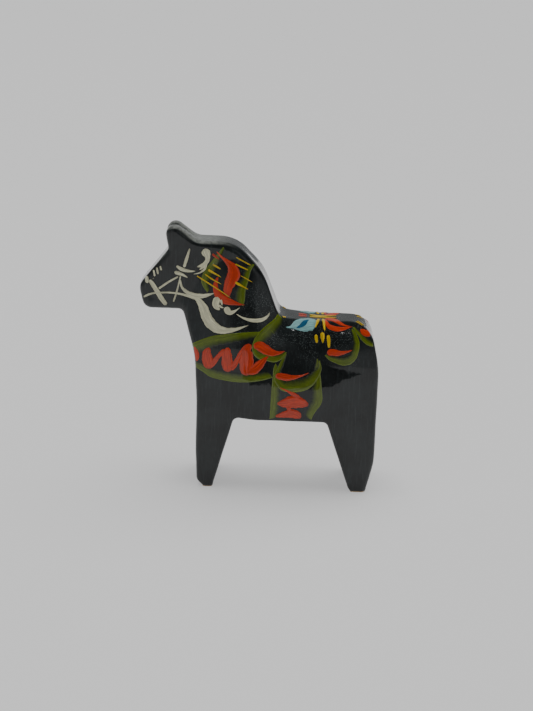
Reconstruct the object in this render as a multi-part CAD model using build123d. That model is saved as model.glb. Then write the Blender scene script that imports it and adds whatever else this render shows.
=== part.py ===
from build123d import *
import os

# A small dala horse, carved from one block of wood and painted by hand.
# Millimetres. The horse looks along -X, its left side is -Y, the ground is z = 0.

# Driving dimensions
HEIGHT = 100.0          # ground to the tip of the ears
BACK_Z = 65.5           # top of the back
BELLY_Z = 27.8          # underside of the belly
CREST_Z = 94.5          # flat top of the neck
JAW_Z = 68.4            # underside of the head
NOSE_X = -45.9          # front of the muzzle
CHEST_X = -22.5         # front of the chest and of the front legs
RUMP_X = 45.9           # back of the rump and of the hind legs
EDGE_ROUND = 1.5        # knife-rounded edge between the flanks and the outline
COAT = 0.20             # thickness of the black ground coat
PAINT = 0.15            # thickness of a brush stroke on top of the coat
COAT_FOOT_GAP = 0.25    # the coat ends this far above the ground
UNDER = 9.0             # legs run this far below the ground before the soles are cut
WIDE = 40.0             # more than the horse is wide
LEG_GAP = (5.2, 3.4)    # half width between the legs, below the ground and below the belly
LEG_GAP_Z = (-2.0, 21.5)    # bottom and top of the gap between a pair of legs
LEG_GAP_X = (-35.0, 55.0)   # the gap is cut through both pairs of legs, from here to here
LEG_GAP_ROUND = 2.6     # radius of the arch at the top of the gap
EAR_NOTCH = 3.4         # half width of the notch between the ears, at its top
EAR_NOTCH_Z = (94.2, 102.0)     # bottom and top of the notch
EAR_NOTCH_X = (-45.0, -24.5)    # the notch is cut from in front of the ears to the poll
FLANK_X = (-50.0, 4.0, 26)      # points that the flank is fitted to: first, step, count
FLANK_Z = (-12.0, 3.0, 40)

# Outline of the blank as sawn: x, z and the radius of each corner.
OUTLINE = [
    (-34.9, 90.9, 2.0),             # forehead meets the ear
    (-37.6, HEIGHT + 4.0, 3.1),     # ear, before its tip is cut
    (-24.6, CREST_Z, 7.0),          # poll
    (-10.0, CREST_Z, 14.0),
    (0.9, 83.4, 25.0),
    (7.6, BACK_Z + 1.0, 5.5),       # withers
    (21.5, BACK_Z, 60.0),
    (42.0, BACK_Z + 0.3, 9.5),      # rump
    (RUMP_X, 49.5, 40.0),
    (RUMP_X + 0.1, 12.0, 25.0),
    (43.2, 0.0, 3.0),
    (42.8, -UNDER, 2.8),
    (36.6, -UNDER, 2.8),
    (36.8, 1.0, 10.0),
    (27.2, BELLY_Z, 2.2),           # hind leg meets the belly
    (0.0, BELLY_Z - 0.2, 30.0),
    (-8.2, BELLY_Z + 0.6, 2.5),     # front leg meets the belly
    (-15.5, 1.0, 10.0),
    (-15.6, -UNDER, 2.6),
    (-21.5, -UNDER, 2.6),
    (-21.5, 1.0, 10.0),
    (CHEST_X + 0.2, 14.0, 40.0),
    (CHEST_X, 34.0, 60.0),
    (CHEST_X - 1.1, 52.0, 40.0),
    (-28.9, JAW_Z + 0.2, 2.0),      # throat
    (-43.6, JAW_Z - 0.3, 3.4),      # chin
    (NOSE_X, 76.2, 3.6),            # nose
]

# Half width of the carved horse: at each station along X, a value for each height.
HEIGHTS = (-14.0, 14.0, 30.0, 44.0, 54.0, 60.0, 64.0, 68.0, 76.0, 88.0, 108.0)
STATIONS = {
    -50.0: (12.0, 12.0, 12.0, 11.5, 10.4, 8.6, 7.4, 6.4, 5.0, 5.0, 5.5),
    -34.0: (12.5, 13.0, 13.0, 12.5, 11.4, 9.8, 8.6, 7.8, 7.0, 6.6, 6.2),
    -20.0: (13.5, 13.8, 14.2, 14.0, 13.3, 12.2, 11.2, 10.4, 8.8, 7.2, 6.2),
    -5.0: (13.8, 14.2, 14.8, 15.0, 14.3, 13.2, 12.2, 11.4, 9.6, 7.4, 6.0),
    4.0: (13.8, 14.2, 14.8, 15.0, 14.2, 12.8, 11.6, 10.4, 8.4, 6.6, 5.6),
    13.0: (13.8, 14.2, 14.8, 15.0, 13.9, 11.9, 9.4, 5.6, 3.6, 3.6, 3.6),
    34.0: (13.6, 14.0, 14.4, 14.6, 13.4, 11.2, 8.6, 4.8, 3.4, 3.4, 3.4),
    50.0: (12.6, 12.8, 12.8, 12.4, 11.0, 8.8, 6.8, 4.4, 3.4, 3.4, 3.4),
}

# Ear tips: everything above this line is cut off.
EAR_CUT = [
    (-50.0, 91.0),
    (-37.5, 95.6),
    (-34.4, HEIGHT),
    (-20.0, HEIGHT),
    (-20.0, HEIGHT + 12.0),
    (-50.0, HEIGHT + 12.0),
]

# Toes: the front lower corner of each foot is cut off along the hypotenuse.
TOES = [
    [(-26.0, 6.5), (-17.0, -1.5), (-26.0, -1.5)],
    [(33.0, 6.5), (38.8, -1.5), (33.0, -1.5)],
]

# Brush strokes of the left side, in the order they are painted: each stroke is a list of
# (x, z, half width) along its middle line. A later figure covers an earlier one.
STROKES = {
    "mane_panel_green": [
        [(-14.5, 93, 0.6), (-17, 88.5, 1.2), (-20, 85, 1.3), (-22, 82.5, 1.3),
         (-22.5, 79, 1.3), (-20.7, 76.5, 1.3), (-18.5, 75.5, 0.6)],
        [(-2.8, 87, 0.4), (-3.4, 85, 0.8), (-4.5, 79.5, 1.0), (-5.8, 76, 1.0), (-6.2, 72.2, 0.6)],
    ],
    "breast_band_green": [
        [(-27, 55.5, 1.6), (-24, 56.5, 1.6), (-16.5, 58.8, 1.6), (-9.7, 60.4, 1.2), (0.5, 61.6, 0.8)],
        [(-26, 49.5, 1.4), (-22, 47.5, 1.4), (-17, 45.2, 1.4), (-11, 44.4, 1.4),
         (-2.7, 44, 1.4), (3, 45.4, 1.2), (5.2, 46.3, 0.6)],
    ],
    "saddle_leaves_green": [
        [(7.9, 67.5, 1.0), (4.9, 65.5, 1.4), (1.5, 62.3, 1.6), (-0.8, 59.3, 1.6), (-1.5, 57, 1.5),
         (-0.3, 54.6, 1.5), (1.5, 53, 1.7), (4.5, 52.2, 1.6), (8.3, 52.5, 1.2), (10.8, 54.4, 0.5)],
        [(11.8, 54.8, 0.5), (8.8, 51.6, 1.0), (7.4, 47.4, 1.0), (7.9, 44.8, 1.2), (10.5, 42.8, 1.8),
         (14.5, 41.4, 2.1), (18.5, 43.3, 2.0), (22, 46.5, 1.4), (24.3, 50.5, 0.4)],
        [(25.2, 54.5, 0.4), (27.6, 52.9, 1.0), (32.4, 51.8, 1.5), (35.5, 53.2, 1.5),
         (36.8, 56, 1.3), (37, 59, 1.2), (36.3, 61.8, 1.0), (35, 63.6, 0.7)],
    ],
    "girth_green": [
        [(6.6, 50.5, 0.3), (6.6, 46.4, 1.2), (6.4, 40.3, 1.4), (6.5, 33, 1.4), (6.6, 28.4, 1.4)],
        [(22.4, 50.5, 0.5), (22.9, 46, 1.5), (23.2, 41, 1.8), (23.2, 36.5, 1.8),
         (21.8, 32.8, 1.7), (20.4, 28.4, 1.5)],
    ],
    "rump_leaf_green": [
        [(36.2, 63.4, 0.7), (37.9, 61.2, 0.8), (40.6, 58.9, 0.9), (43.5, 57.8, 0.5)],
    ],
    "mane_red_leaves": [
        [(-16.5, 90.5, 0.2), (-13.5, 88, 0.8), (-10.8, 85.5, 2.0), (-10.8, 82.5, 2.7),
         (-12, 78.5, 1.9), (-12.2, 75.5, 0.7)],
        [(-18.5, 90, 0.3), (-15.8, 88.2, 0.2)],
        [(-16, 81.5, 0.4), (-16.8, 79, 1.0), (-16.3, 76, 1.4), (-13.8, 73.7, 1.6),
         (-10.5, 72.6, 1.1), (-6, 72, 0.2)],
    ],
    "breast_band_red": [
        [(-23.2, 55, 0.5), (-23.2, 52.5, 1.2), (-23.2, 50, 0.5)],
        [(-20.3, 55.5, 0.4), (-19, 53.5, 2.0), (-18.3, 50.5, 2.7), (-18, 47.8, 1.8)],
        [(-17, 48.7, 1.1), (-15.2, 52, 0.7), (-12.7, 55.3, 0.4)],
        [(-12, 55.8, 0.6), (-11.3, 53, 2.2), (-11, 50, 2.7), (-11, 47.2, 1.8)],
        [(-9.8, 48.3, 1.2), (-7.9, 50.8, 0.9), (-5, 55.5, 0.6)],
        [(-4, 57.2, 0.8), (-3.8, 54, 2.4), (-3.6, 50, 2.6), (-3.3, 46.8, 1.8)],
        [(-2.5, 47.6, 1.6), (0.3, 49.8, 1.1), (2.4, 52.3, 0.3)],
    ],
    "saddle_leaves_red": [
        [(-1.5, 57, 0.8), (2, 56, 1.8), (5.4, 54.4, 1.2), (9.6, 55.3, 0.2)],
        [(6.8, 46, 0.6), (9.8, 45.7, 1.4), (13.6, 45.3, 1.1), (19.5, 47.5, 0.2)],
        [(26, 55.5, 0.6), (28.3, 55.5, 1.2), (31.5, 55.3, 0.8), (35.3, 56.2, 0.2)],
    ],
    "girth_red": [
        [(8.7, 41, 0.2), (13.5, 38.8, 0.5)],
        [(8.4, 34.5, 0.4), (11.5, 36, 1.6), (16, 36.6, 1.9), (20, 35.8, 0.5)],
        [(8.2, 30.6, 0.5), (11.5, 31.2, 1.6), (15.5, 31.8, 1.5), (17.8, 32.3, 0.5)],
    ],
    "rump_red": [
        [(39.8, 63, 0.5), (40.2, 61.9, 1.5), (40.3, 60.7, 0.5)],
    ],
    "saddle_blue_petal": [
        [(9.6, 63.5, 0.2), (12, 63.2, 0.8), (15, 63.4, 1.6), (18, 63.6, 1.8), (20.4, 64.2, 0.7)],
    ],
    "saddle_blue_heart": [
        [(13.3, 62.8, 0.2), (15, 63.4, 0.6), (16.8, 64.2, 0.8), (18.2, 64.9, 0.3)],
    ],
    "saddle_red_petals": [
        [(25.2, 64.4, 0.3), (26, 63.2, 0.6), (28.7, 62.4, 0.8), (32.1, 62.6, 0.6), (34.9, 63.6, 0.2)],
        [(27, 65.0, 0.2), (29.5, 64.8, 0.5), (31.4, 64, 0.5), (33.5, 63.7, 0.2)],
    ],
    "saddle_yellow_dashes": [
        [(22.6, 64.6, 0.5), (21.9, 62.6, 0.4)],
        [(24, 64.6, 0.5), (24.6, 62.4, 0.3)],
        [(21.5, 61.2, 0.6), (21.9, 58.6, 0.4)],
        [(23.8, 61.8, 0.8), (24.3, 58.6, 0.2)],
        [(26.1, 61.2, 0.6), (26.6, 56.9, 0.5)],
    ],
    "mane_yellow_dashes": [
        [(-18.2, 86.3, 0.45), (-15.2, 84.7, 0.4)],
        [(-20, 84.2, 0.6), (-14.8, 81.6, 0.2)],
        [(-21, 82.4, 0.35), (-14.7, 79.2, 0.3)],
        [(-24, 81.6, 0.35), (-17.5, 78, 0.35)],
        [(-9.5, 89.2, 0.35), (-4, 86.5, 0.35)],
        [(-9, 86.4, 0.4), (-4.9, 84.6, 0.3)],
        [(-7.3, 82.3, 0.25), (-3.3, 80.5, 0.25)],
        [(-9, 79.8, 0.5), (-4.7, 77.7, 0.25)],
    ],
    "halter": [
        [(-27, 92, 0.2), (-28, 88.5, 0.6), (-29, 84.5, 0.5)],
        [(-32, 85, 0.3), (-29.5, 83.7, 0.6), (-24.5, 83.5, 0.2)],
        [(-32.5, 82.5, 0.6), (-30.5, 82, 0.7), (-27.5, 81, 0.2)],
        [(-43.2, 80, 0.7), (-41.5, 78.5, 0.8), (-39, 75, 0.9), (-35.5, 69.9, 0.9)],
        [(-43.5, 72.5, 0.3), (-40.5, 74, 0.4), (-37.5, 74.5, 0.4), (-32, 74.5, 0.4),
         (-27, 74, 0.5), (-24.6, 73.2, 0.5)],
        [(-38.5, 75.5, 0.5), (-35, 78.5, 0.5), (-31, 81, 0.4)],
        [(-30, 81, 0.3), (-31.5, 75, 0.4), (-32.5, 71.5, 0.4)],
        [(-30.3, 80, 0.3), (-29.5, 76.5, 0.4), (-27, 75, 0.6), (-24, 74.4, 0.7),
         (-21, 74.6, 0.6), (-17.5, 75.5, 0.2)],
    ],
    "forehead_dashes": [
        [(-40.5, 83, 0.4), (-40, 80.5, 0.4)],
        [(-39.3, 84, 0.4), (-38.7, 81.5, 0.4)],
        [(-38, 84.5, 0.4), (-37.6, 83, 0.4)],
    ],
    "ear_scroll": [
        [(-21.2, 92, 0.4), (-21, 90.6, 1.6), (-20.6, 88.3, 1.2), (-21.4, 86.3, 0.8), (-23.2, 85, 0.4)],
        [(-21.5, 84, 0.4), (-25, 82.2, 0.2)],
    ],
    "rein_scroll": [
        [(-24, 72.9, 0.5), (-22.8, 72.3, 1.0), (-20.5, 69.5, 1.8), (-19, 66, 2.0),
         (-16, 62.9, 1.6), (-12.5, 62.4, 1.2), (-8.5, 63.1, 0.8), (-4.3, 64.5, 0.2)],
    ],
    "mane_fringe": [
        [(-16, 74.5, 0.5), (-16.3, 72.5, 1.6), (-16.2, 71, 1.5), (-15, 69.5, 0.5)],
        [(-12.2, 71, 0.6), (-12, 69.6, 1.4), (-10.6, 69.2, 0.9), (-7.5, 70.6, 0.2)],
        [(-8.5, 68, 0.2), (-4, 66.4, 0.8), (0, 66.3, 0.9), (2, 67, 0.7), (4, 69, 0.2)],
    ],
}


def flow(stops, values, t):
    """A smooth curve through the values at the stops, read at t."""
    last = len(stops) - 1

    def slope(k):
        before, after = max(k - 1, 0), min(k + 1, last)
        return (values[after] - values[before]) / (stops[after] - stops[before])

    i = max(k for k in range(last) if k == 0 or t >= stops[k])
    span = stops[i + 1] - stops[i]
    u = (t - stops[i]) / span
    rise = 3 * u**2 - 2 * u**3
    leave = (u**3 - 2 * u**2 + u) * span * slope(i)
    arrive = (u**3 - u**2) * span * slope(i + 1)
    return (1 - rise) * values[i] + rise * values[i + 1] + leave + arrive


def half_width(x, z):
    """Half the width of the carved horse at x and z."""
    stops = list(STATIONS)
    return flow(stops, [flow(HEIGHTS, STATIONS[s], z) for s in stops], x)


def outside(grow):
    """What the knife takes away on the left of the flank, which is moved out by grow."""
    columns = [FLANK_X[0] + FLANK_X[1] * i for i in range(FLANK_X[2])]
    levels = [FLANK_Z[0] + FLANK_Z[1] * i for i in range(FLANK_Z[2])]
    points = [[Vector(x, -half_width(x, z) - grow, z) for z in levels] for x in columns]
    flank = Face.make_surface_from_array_of_points(points, tol=0.02, min_deg=3, max_deg=5)
    return extrude(flank, WIDE, dir=(0, -1, 0))


def through(corners, radii=None):
    """A prism across the horse, from corners in the XZ plane."""
    if radii:
        line = FilletPolyline(corners, radius=radii, close=True)
    else:
        line = Polyline(corners, close=True)
    return extrude(Plane.XZ * make_face(line), WIDE, both=True)


def horse(grow=0.0):
    """The carved horse, with its whole surface moved out by grow."""
    corners = [(x, z) for x, z, radius in OUTLINE]
    blank = make_face(FilletPolyline(corners, radius=[r for x, z, r in OUTLINE], close=True))
    if grow:
        blank = offset(blank, grow)
    waste = outside(grow)
    solid = extrude(Plane.XZ * blank, WIDE / 2, both=True) - waste - mirror(waste, Plane.XZ)
    rims = [e for e in solid.edges() if abs(e.center().Y) > 2.0]
    solid = fillet(rims, EDGE_ROUND + grow)

    sole = COAT_FOOT_GAP if grow else 0.0
    solid -= Pos(0, 0, sole - WIDE) * Box(4 * WIDE, 2 * WIDE, 2 * WIDE)
    for toe in TOES:
        solid -= through(toe)

    solid -= through([(x, z + grow) for x, z in EAR_CUT])
    side, low, high = EAR_NOTCH - grow, EAR_NOTCH_Z[0] + grow, EAR_NOTCH_Z[1]
    notch = Polyline([(0, low), (side, high), (-side, high)], close=True)
    length = EAR_NOTCH_X[1] - EAR_NOTCH_X[0]
    solid -= Pos(EAR_NOTCH_X[0], 0, 0) * extrude(Plane.YZ * make_face(notch), length)

    foot, arch = LEG_GAP[0] - grow, LEG_GAP[1] - grow
    low, high = LEG_GAP_Z[0], LEG_GAP_Z[1] - grow
    arch_round = LEG_GAP_ROUND - grow / 2
    corner = 0.5
    gap = FilletPolyline(
        [(-foot, low), (-arch, high), (arch, high), (foot, low)],
        radius=[corner, arch_round, arch_round, corner],
        close=True,
    )
    length = LEG_GAP_X[1] - LEG_GAP_X[0]
    solid -= Pos(LEG_GAP_X[0], 0, 0) * extrude(Plane.YZ * make_face(gap), length)
    return solid


def stroke(points):
    """One brush stroke as a flat face: a smooth ribbon along points of (x, z, half width)."""
    left, right = [], []
    last = len(points) - 1
    for i, (x, z, half) in enumerate(points):
        before, after = points[max(i - 1, 0)], points[min(i + 1, last)]
        along = Vector(after[0] - before[0], after[1] - before[1]).normalized()
        across = Vector(-along.Y, along.X) * half
        left.append(Vector(x, z) + across)
        right.append(Vector(x, z) - across)
    up_side = Spline(left) if last > 1 else Line(left[0], left[1])
    down_side = Spline(right) if last > 1 else Line(right[0], right[1])
    ends = [Line(left[0], right[0]), Line(left[-1], right[-1])]
    return make_face([up_side, ends[1], down_side, ends[0]])


def figures():
    """The painted figures as flat faces, each less what is painted over it."""
    faces = {}
    for name, strokes in STROKES.items():
        face = stroke(strokes[0])
        for points in strokes[1:]:
            face += stroke(points)
        faces[name] = face
    names = list(faces)
    for i, name in enumerate(names):
        for later in names[i + 1:]:
            faces[name] -= faces[later]
    return faces


def write(name, shape):
    shape.label = name
    export_step(shape, os.path.join("parts", name + ".step"))


def main():
    os.makedirs("parts", exist_ok=True)
    wood = horse()
    coated = horse(COAT)
    write("wood_body", wood)
    write("base_coat", coated - wood)

    left_half = Pos(0, -WIDE / 2 - 0.5, HEIGHT / 2) * Box(3 * WIDE, WIDE, 2 * HEIGHT)
    film = (horse(COAT + PAINT) & left_half) - coated
    for name, face in figures().items():
        paint = film & extrude(Plane.XZ * face, WIDE)
        write("left_" + name, paint)
        write("right_" + name, mirror(paint, Plane.XZ))


main()
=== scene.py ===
import math

import bpy
import numpy as np
from mathutils import Matrix, Vector


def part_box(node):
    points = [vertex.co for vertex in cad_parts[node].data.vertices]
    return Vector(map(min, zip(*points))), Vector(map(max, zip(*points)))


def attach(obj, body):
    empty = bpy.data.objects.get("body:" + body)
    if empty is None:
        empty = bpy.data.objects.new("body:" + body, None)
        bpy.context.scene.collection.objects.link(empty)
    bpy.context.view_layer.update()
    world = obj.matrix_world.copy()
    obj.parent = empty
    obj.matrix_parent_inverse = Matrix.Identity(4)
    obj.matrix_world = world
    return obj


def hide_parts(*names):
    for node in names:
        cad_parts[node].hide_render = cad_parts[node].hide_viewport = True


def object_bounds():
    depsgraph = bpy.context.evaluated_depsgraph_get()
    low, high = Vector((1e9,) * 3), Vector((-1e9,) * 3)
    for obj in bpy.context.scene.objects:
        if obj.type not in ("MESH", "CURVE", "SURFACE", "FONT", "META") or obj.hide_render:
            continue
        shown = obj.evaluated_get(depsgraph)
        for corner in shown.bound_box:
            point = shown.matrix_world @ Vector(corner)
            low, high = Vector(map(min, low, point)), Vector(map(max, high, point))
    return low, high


bl_info = {
    "name": "Painted dala horse",
    "version": (1, 0, 0),
    "blender": (4, 5, 0),
    "location": "View3D > Sidebar > Dala horse",
    "description": "Carves the horse, lays its ground coat and its brushwork, and sets the stage",
    "category": "Object",
}

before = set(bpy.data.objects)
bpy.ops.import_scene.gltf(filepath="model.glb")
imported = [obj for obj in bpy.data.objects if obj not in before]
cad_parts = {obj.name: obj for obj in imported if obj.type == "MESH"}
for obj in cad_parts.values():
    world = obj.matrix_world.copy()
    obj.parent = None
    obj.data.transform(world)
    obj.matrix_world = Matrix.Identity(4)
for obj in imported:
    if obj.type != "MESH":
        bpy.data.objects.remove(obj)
CAD_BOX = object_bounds()
WOOD_HIGH = Vector(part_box("wood_body")[1])
COAT_LOW, COAT_HIGH = (Vector(corner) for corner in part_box("base_coat"))
COAT_THICKNESS = COAT_HIGH.y - WOOD_HIGH.y
COAT_FOOT = COAT_LOW.z
MM = 0.001
SOLE_DEPTH = 0.6 * MM       # wood nearer the ground than this is planed flat

# Brush strokes.
BACK_LEAN = math.radians(50)    # how far the sheet for the figures on the back leans over
# How far from the horse's middle the sheets of strokes are drawn. Points past the outline
# settle on the nearest surface, so the flank's sheet is held close.
FLANK_AWAY, BACK_AWAY = 30 * MM, 100 * MM
LOWEST = 0.02 * MM          # the thinnest paint over the coat
SUNK = 0.06 * MM            # how far a stroke's edges are below the coat's surface
UNDERSIDE = 0.12 * MM       # how far a stroke's underside is below the coat's surface
NARROWEST = 0.03 * MM       # smallest half width of a stroke
END_ROUND = 0.1 * MM        # smallest radius of a stroke's end
END_CLOSED = 0.02           # share of the width that is left where an end closes
FEWEST_ROWS = 8             # rows of points along the shortest stroke
ACROSS = 13                 # points across a stroke's top
QUARTER = (ACROSS - 1) // 4
UNDER_AT = (0.6, 0.0, -0.6)     # where the underside's points are, across the stroke
STREAK_UNIT = 10 * MM       # length of one unit of the streak pattern
FLANK_SEED, BACK_SEED, SEED_STEP = 1.7, 4.1, 1.9    # tell the strokes' hairs apart
# Sine waves as (height, pitch, turn per seed): an edge's waver against millimetres along the
# stroke, and the ridges that the hairs leave against the place across it.
EDGE_WAVES = [(0.035, 2.1, 1), (0.025, 5.3, 2)]
HAIR_RIDGES = [(0.12, 9, 1), (0.08, 17, 2)]

# Where the ground coat is dusty, and where a painted sheen lightens it: from none to full, up and
# along the horse.
DUSTY_UP = (46 * MM, 60 * MM)
DUSTY_BACK = (-16 * MM, 2 * MM)
DUST = (0.19, 0.22, 0.21, 1)
# The painted sheen is a painted highlight of the light from above on the upward faces of the ears
# and the poll. These are its reach up and forward, and its colour.
SHEEN_UP = (82 * MM, 92 * MM)
SHEEN_FRONT = (-8 * MM, -22 * MM)
PAINTED_SHEEN = (0.21, 0.22, 0.20, 1)
MIX_INPUTS, MIX_RESULT = (0, 6, 7), 2   # a Mix node's sockets for factor and two colours
FIBRE_STRETCH = (1400, 1400, 110)       # fine across the grain, long along the legs
SWELL_STRETCH = (350, 350, 160)         # slow waves of the varnish

# The stage.
FLOOR_REACH = 8.0
CARD_HEIGHT = 0.8 * MM
# A dark card on the floor, seen only as a reflection in the horse's flank.
DARK_CARD = [(-0.004, -0.155), (0.030, -0.155), (0.085, -0.300), (0.200, -0.500), (0.600, -7.9),
             (-0.100, -7.9), (-0.025, -0.900), (-0.020, -0.220)]
CARD_BLACK = (0.01, 0.011, 0.011, 1)
ROOM_TINT = (0.96, 0.99, 1.0, 1)
# Light from around by direction, from none to full: a wall behind the horse that fades
# overhead, and windows low down, to the left and right and in front of it.
WALL_BEHIND, WALL_UP = (0.15, 0.8), (0.75, 0.25)
WINDOW_UP, WINDOW_ASIDE, WINDOW_FRONT = (0.55, 0.2), (0.05, 0.20), (0.0, -0.2)
SUN_PLACE = (0.1, 0.25, 1.0)
SUN_SPREAD = math.radians(60)
# Small lamps: name, place, size, share of the glints' power.
GLINTS = [
    ("glint_left", (-0.35, -0.9, 1.2), 0.04, 1.0),
    ("glint_right", (0.25, -0.8, 1.3), 0.04, 0.6),
    ("glint_high", (-0.75, -0.25, 1.1), 0.04, 1.2),
    ("sheen", (-0.25, 0.05, 1.2), 0.20, 4.0),
]
VIEW_AIM = (0.0033, 0.0, 0.0494)
SENSOR_WIDTH = 36.0         # millimetres
NEAREST_SEEN = 10 * MM

# Brushwork of the left side. A stroke is (kind, points): each point is x, z and half the
# stroke's width, in millimetres, from where the brush lands to where it lifts. On the back,
# z is instead the height up a sheet that leans over the horse by BACK_LEAN. A "soft" stroke's
# points follow its crisp edge, and the paint thins out to its left.
HALTER = [
    ("line", [(-29.0, 84.6, 0.55), (-28.0, 88.2, 0.6), (-27.0, 91.9, 0.25)]),
    ("line", [(-31.9, 85.0, 0.5), (-29.5, 83.7, 0.75), (-27.0, 83.3, 0.5), (-24.6, 83.4, 0.15)]),
    ("line", [(-32.6, 82.6, 0.6), (-30.6, 82.1, 0.75), (-29.0, 81.6, 0.5), (-27.4, 80.7, 0.15)]),
    ("line", [(-43.1, 80.4, 0.6), (-42.9, 78.6, 0.8), (-42.6, 77.6, 0.4)]),
    ("line", [(-41.9, 79.0, 0.7), (-40.6, 77.2, 0.85), (-38.8, 74.6, 0.95), (-37.2, 72.2, 0.95),
              (-35.2, 69.8, 0.8)]),
    ("line", [(-44.0, 72.2, 0.3), (-42.0, 73.4, 0.4), (-40.4, 73.9, 0.32), (-37.3, 74.4, 0.32),
              (-32.0, 74.6, 0.38), (-27.2, 73.9, 0.5), (-24.2, 73.0, 0.5)]),
    ("line", [(-38.4, 75.8, 0.4), (-35.0, 78.4, 0.4), (-31.0, 81.0, 0.32)]),
    ("line", [(-30.2, 81.2, 0.27), (-31.4, 75.4, 0.35), (-32.6, 71.2, 0.3)]),
    ("line", [(-30.3, 79.8, 0.3), (-29.4, 76.8, 0.5), (-27.2, 75.1, 0.75), (-24.2, 74.2, 0.95),
              (-21.4, 74.3, 0.85), (-19.2, 74.9, 0.5), (-17.2, 75.6, 0.15)]),
]
FOREHEAD_DASHES = [
    ("line", [(-39.9, 80.4, 0.4), (-40.5, 82.9, 0.35)]),
    ("line", [(-38.7, 81.3, 0.4), (-39.3, 84.0, 0.35)]),
    ("line", [(-37.5, 82.9, 0.4), (-38.0, 84.6, 0.3)]),
]
EAR_SCROLL = [
    ("blob", [(-21.3, 92.1, 1.1), (-21.0, 90.9, 1.75), (-20.3, 89.2, 1.2), (-20.3, 87.8, 0.9),
              (-21.2, 86.4, 0.8), (-22.9, 85.4, 0.5), (-24.2, 85.0, 0.12)]),
    ("line", [(-20.9, 86.9, 0.55), (-21.8, 85.2, 0.5), (-23.2, 83.9, 0.2)]),
    ("line", [(-20.6, 86.6, 0.5), (-21.2, 84.4, 0.45), (-22.8, 83.0, 0.3), (-25.4, 82.2, 0.1)]),
]
REIN_SCROLL = [
    ("blob", [(-27.0, 73.9, 0.25), (-25.0, 73.6, 0.5), (-22.9, 72.3, 1.1), (-21.2, 69.9, 1.8),
              (-20.0, 67.0, 2.05), (-18.2, 64.4, 2.1), (-15.6, 62.6, 1.75), (-12.6, 62.1, 1.2),
              (-9.2, 62.6, 0.75), (-6.4, 63.5, 0.4), (-3.9, 64.5, 0.12)]),
]
MANE_FRINGE = [
    ("blob", [(-15.2, 74.2, 0.8), (-16.2, 73.0, 1.4), (-16.5, 71.4, 1.4), (-15.8, 70.2, 0.8),
              (-14.8, 69.6, 0.25)]),
    ("line", [(-14.8, 73.6, 0.6), (-14.4, 72.4, 0.5), (-14.1, 71.2, 0.15)]),
    ("line", [(-15.4, 71.4, 0.6), (-14.4, 70.6, 0.35), (-13.4, 70.4, 0.1)]),
    ("blob", [(-12.2, 71.0, 1.2), (-12.1, 69.6, 1.3), (-11.1, 68.8, 1.0), (-9.8, 69.1, 0.6),
              (-8.6, 69.9, 0.3), (-7.3, 70.9, 0.12)]),
    ("blob", [(-8.7, 68.4, 0.12), (-6.2, 67.1, 0.35), (-3.6, 66.4, 0.6), (-0.6, 66.3, 0.75),
              (1.8, 66.9, 0.65), (3.2, 68.0, 0.4), (3.9, 69.2, 0.15)]),
]
MANE_PANEL_GREEN = [
    ("soft", [(-14.5, 93.1, 0.5), (-16.8, 90.2, 1.1), (-18.8, 87.5, 1.6), (-20.8, 84.6, 1.9),
              (-22.2, 82.1, 2.0), (-22.5, 79.8, 1.8), (-21.6, 77.6, 1.4), (-19.9, 75.6, 0.8)]),
    ("soft", [(-6.1, 71.3, 1.3), (-5.6, 73.0, 2.0), (-5.3, 77.3, 1.9), (-4.5, 80.6, 1.5),
              (-3.5, 84.9, 1.2), (-2.4, 86.8, 0.6)]),
]
MANE_RED_LEAVES = [
    ("blob", [(-17.0, 91.2, 0.15), (-15.2, 89.4, 0.4), (-13.0, 87.6, 0.9), (-11.0, 85.6, 1.8),
              (-10.2, 83.2, 2.6), (-11.2, 80.4, 2.3), (-12.2, 77.8, 1.8), (-12.2, 75.6, 1.3),
              (-11.9, 74.4, 0.5)]),
    ("line", [(-18.6, 90.2, 0.45), (-17.2, 89.2, 0.4), (-15.7, 88.2, 0.12)]),
    ("blob", [(-16.1, 81.7, 0.3), (-16.8, 79.6, 0.8), (-16.8, 77.4, 1.1), (-15.6, 75.0, 1.6),
              (-13.4, 73.4, 1.6), (-10.6, 72.6, 1.1), (-8.0, 72.1, 0.5), (-5.6, 71.9, 0.12)]),
]
MANE_YELLOW_DASHES = [
    ("line", [(-18.3, 86.3, 0.38), (-16.6, 85.4, 0.36), (-15.1, 84.6, 0.25)]),
    ("line", [(-20.0, 84.2, 0.52), (-17.4, 82.9, 0.36), (-14.8, 81.6, 0.12)]),
    ("line", [(-21.1, 82.5, 0.24), (-17.6, 80.4, 0.27), (-14.6, 79.0, 0.12)]),
    ("line", [(-24.1, 81.7, 0.24), (-20.0, 79.4, 0.27), (-15.9, 77.1, 0.22), (-11.0, 74.2, 0.12)]),
    ("line", [(-9.6, 89.3, 0.22), (-6.8, 87.9, 0.26), (-3.9, 86.5, 0.22)]),
    ("line", [(-9.8, 86.8, 0.22), (-7.2, 85.7, 0.28), (-4.8, 84.7, 0.22)]),
    ("line", [(-7.7, 82.6, 0.16), (-5.4, 81.5, 0.21), (-3.1, 80.3, 0.12)]),
    ("line", [(-9.7, 80.1, 0.4), (-8.4, 79.5, 0.5), (-6.6, 78.6, 0.27), (-4.5, 77.6, 0.18)]),
]
BREAST_BAND_GREEN = [
    ("soft", [(1.2, 62.4, 1.0), (-4.5, 62.0, 1.5), (-11.0, 61.2, 2.0), (-17.4, 60.0, 2.3),
              (-22.4, 58.1, 2.5), (-24.6, 56.9, 2.5), (-27.0, 55.8, 2.4)]),
    ("soft", [(-27.0, 48.3, 1.3), (-24.0, 47.6, 1.4), (-21.2, 46.3, 1.6), (-18.1, 44.3, 1.9),
              (-12.3, 43.0, 2.0), (-3.8, 42.7, 1.9), (2.1, 43.7, 1.8), (6.0, 45.0, 1.5)]),
]
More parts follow.
